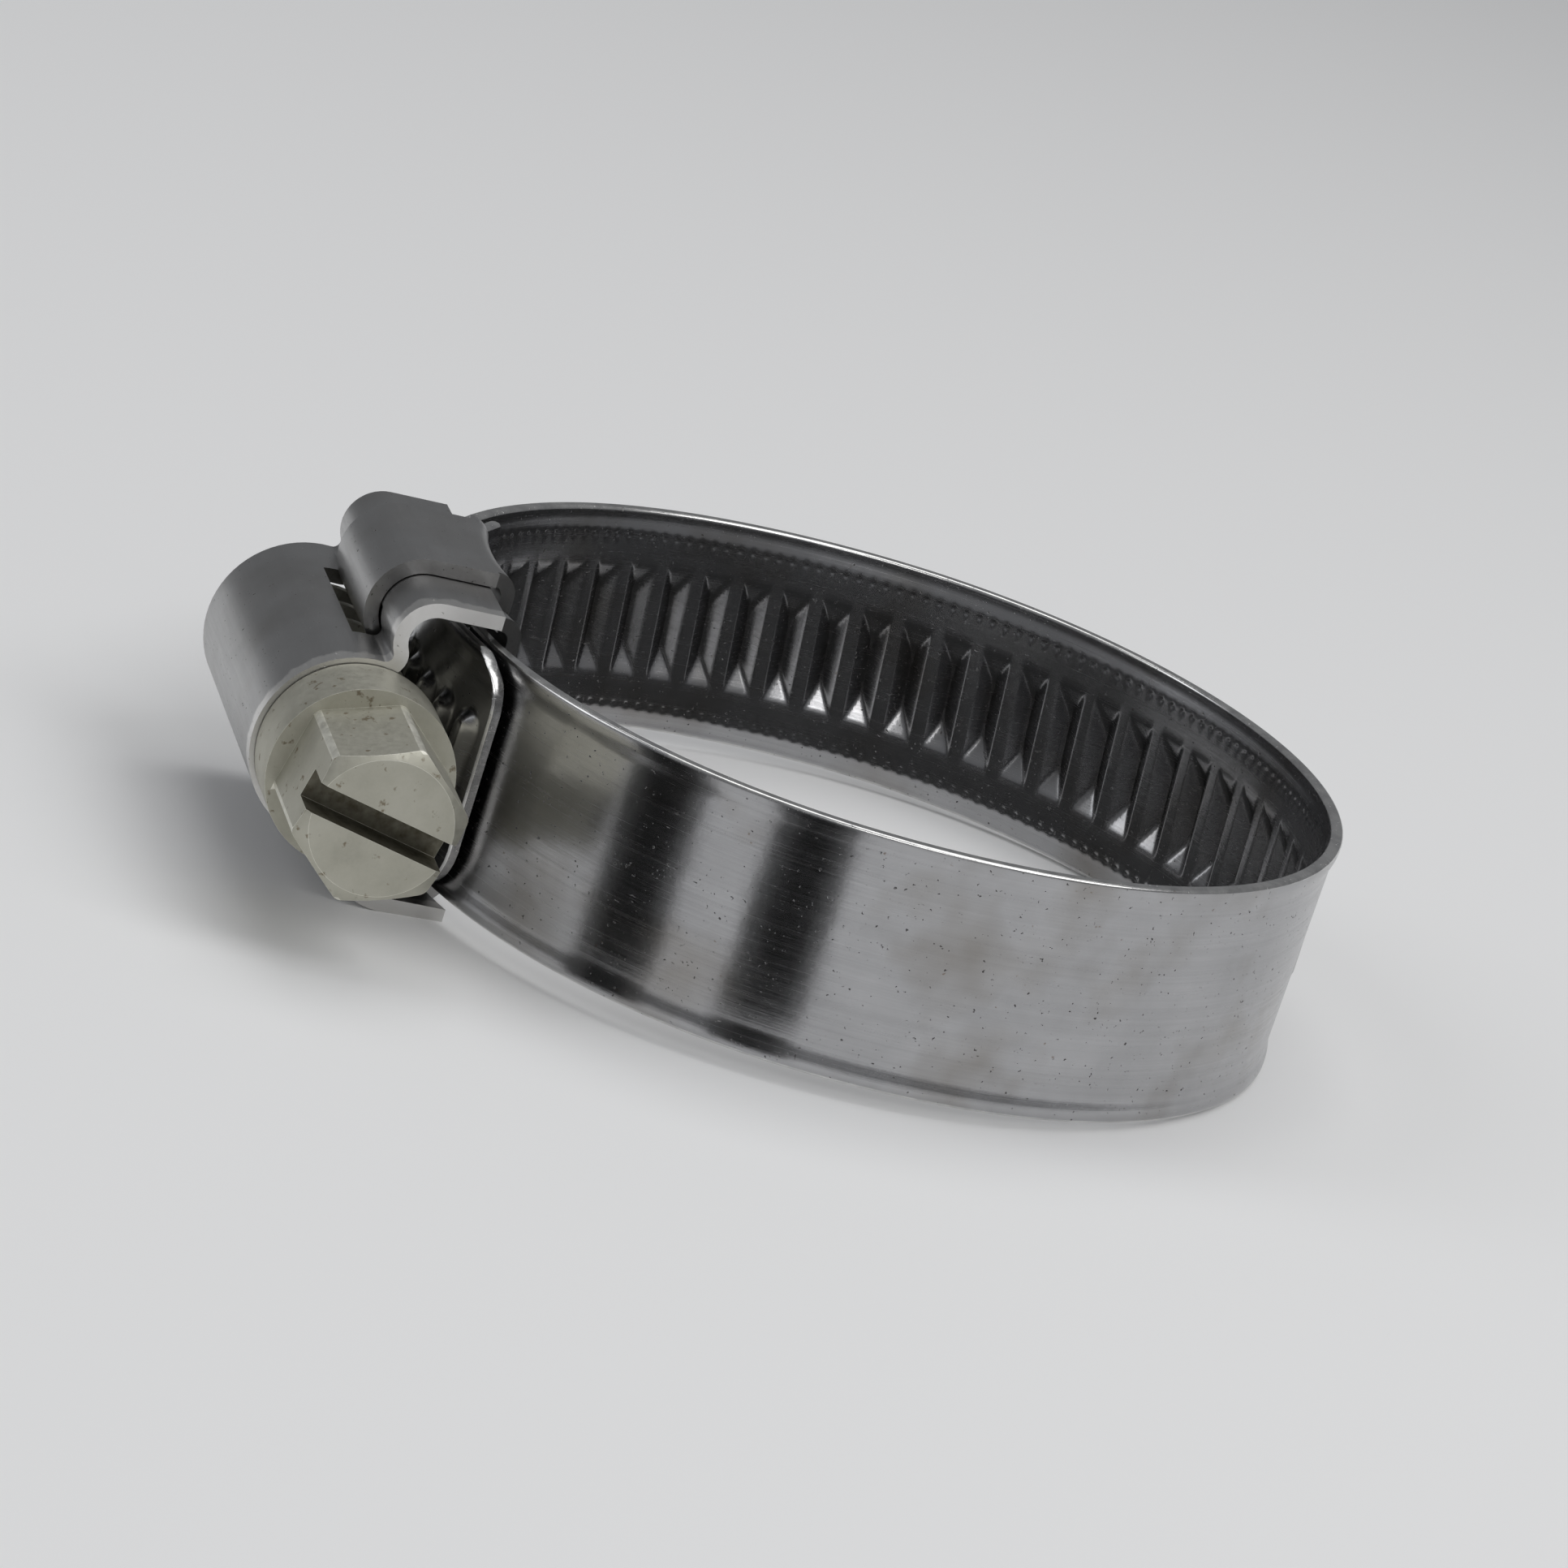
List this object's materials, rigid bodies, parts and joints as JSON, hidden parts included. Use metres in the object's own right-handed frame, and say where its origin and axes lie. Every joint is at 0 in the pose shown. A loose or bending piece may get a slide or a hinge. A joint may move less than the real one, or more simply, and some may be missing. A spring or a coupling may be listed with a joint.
{
  "type": "worm-drive hose clamp",
  "caption": "Worm-drive hose clamp: pressed-thread steel band, wrapped sheet housing and slotted hex-head worm screw that pulls the band's tail through the housing.",
  "frame": {"origin": "centre of the hose bore, on the hose's axis and midway across the band", "axes": "+Z along the hose's axis towards the side where the housing's tab closes; +Y from the bore to the housing; the screw lies along X with its head at -X"},
  "size_m": [0.045, 0.0554, 0.0161],
  "materials": {
    "band_steel": "bright rolled stainless strip, satin",
    "housing_steel": "satin stainless sheet",
    "zinc_screw": "matt zinc plate, warm grey"
  },
  "bodies": {
    "root": {"housing": "housing_steel", "band_fixed_end": "band_steel"},
    "screw": {"worm_screw": "zinc_screw"},
    "tail": {"band_tail": "band_steel"},
    "segment_01": {"band_segment_01": "band_steel"},
    "segment_02": {"band_segment_02": "band_steel"},
    "segment_03": {"band_segment_03": "band_steel"},
    "segment_04": {"band_segment_04": "band_steel"},
    "segment_05": {"band_segment_05": "band_steel"},
    "segment_06": {"band_segment_06": "band_steel"},
    "segment_07": {"band_segment_07": "band_steel"},
    "segment_08": {"band_segment_08": "band_steel"},
    "segment_09": {"band_segment_09": "band_steel"},
    "segment_10": {"band_segment_10": "band_steel"},
    "segment_11": {"band_segment_11": "band_steel"},
    "segment_12": {"band_segment_12": "band_steel"}
  },
  "joints": [
    {"name": "screw_spin", "type": "hinge", "parent": "root", "child": "screw", "pos_m": [-0.00042, 0.02803, 0], "axis": [1, 0, 0], "range_deg": [0, 2520]},
    {"name": "tail_feed", "type": "hinge", "parent": "root", "child": "tail", "pos_m": [-0.00042, 0.0016, 0], "axis": [0, 0, 1], "range_deg": [0, 40.36]},
    {"name": "band_bend_01", "type": "hinge", "parent": "tail", "child": "segment_01", "pos_m": [0.02167, 0.00463, 0], "axis": [0, 0, 1], "range_deg": [-8.15, 0]},
    {"name": "band_bend_02", "type": "hinge", "parent": "segment_01", "child": "segment_02", "pos_m": [0.0214, -0.00428, 0], "axis": [0, 0, 1], "range_deg": [-5.17, 0]},
    {"name": "band_bend_03", "type": "hinge", "parent": "segment_02", "child": "segment_03", "pos_m": [0.01791, -0.01247, 0], "axis": [0, 0, 1], "range_deg": [-2.67, 0]},
    {"name": "band_bend_04", "type": "hinge", "parent": "segment_03", "child": "segment_04", "pos_m": [0.01145, -0.01858, 0], "axis": [0, 0, 1], "range_deg": [-1.15, 0]},
    {"name": "band_bend_05", "type": "hinge", "parent": "segment_04", "child": "segment_05", "pos_m": [0.00307, -0.02161, 0], "axis": [0, 0, 1], "range_deg": [-0.79, 0]},
    {"name": "band_bend_06", "type": "hinge", "parent": "segment_05", "child": "segment_06", "pos_m": [-0.00581, -0.02104, 0], "axis": [0, 0, 1], "range_deg": [-1.42, 0]},
    {"name": "band_bend_07", "type": "hinge", "parent": "segment_06", "child": "segment_07", "pos_m": [-0.01334, -0.01727, 0], "axis": [0, 0, 1], "range_deg": [-2.56, 0]},
    {"name": "band_bend_08", "type": "hinge", "parent": "segment_07", "child": "segment_08", "pos_m": [-0.01889, -0.01093, 0], "axis": [0, 0, 1], "range_deg": [-3.65, 0]},
    {"name": "band_bend_09", "type": "hinge", "parent": "segment_08", "child": "segment_09", "pos_m": [-0.02162, -0.00296, 0], "axis": [0, 0, 1], "range_deg": [-4.25, 0]},
    {"name": "band_bend_10", "type": "hinge", "parent": "segment_09", "child": "segment_10", "pos_m": [-0.02103, 0.00699, 0], "axis": [0, 0, 1], "range_deg": [-4.23, 0]},
    {"name": "band_bend_11", "type": "hinge", "parent": "segment_10", "child": "segment_11", "pos_m": [-0.01741, 0.01445, 0], "axis": [0, 0, 1], "range_deg": [-3.77, 0]},
    {"name": "band_bend_12", "type": "hinge", "parent": "segment_11", "child": "segment_12", "pos_m": [-0.01121, 0.01996, 0], "axis": [0, 0, 1], "range_deg": [-3.14, 0]}
  ],
  "couplings": [
    {"joint": "tail_feed", "follows": "screw_spin", "ratio": 0.015995},
    {"joint": "band_bend_01", "follows": "screw_spin", "ratio": -0.0032123},
    {"joint": "band_bend_02", "follows": "screw_spin", "ratio": -0.0020314},
    {"joint": "band_bend_03", "follows": "screw_spin", "ratio": -0.001039},
    {"joint": "band_bend_04", "follows": "screw_spin", "ratio": -0.00043336},
    {"joint": "band_bend_05", "follows": "screw_spin", "ratio": -0.00029212},
    {"joint": "band_bend_06", "follows": "screw_spin", "ratio": -0.00054264},
    {"joint": "band_bend_07", "follows": "screw_spin", "ratio": -0.00099595},
    {"joint": "band_bend_08", "follows": "screw_spin", "ratio": -0.0014269},
    {"joint": "band_bend_09", "follows": "screw_spin", "ratio": -0.0016649},
    {"joint": "band_bend_10", "follows": "screw_spin", "ratio": -0.0016582},
    {"joint": "band_bend_11", "follows": "screw_spin", "ratio": -0.0014746},
    {"joint": "band_bend_12", "follows": "screw_spin", "ratio": -0.0012243}
  ]
}
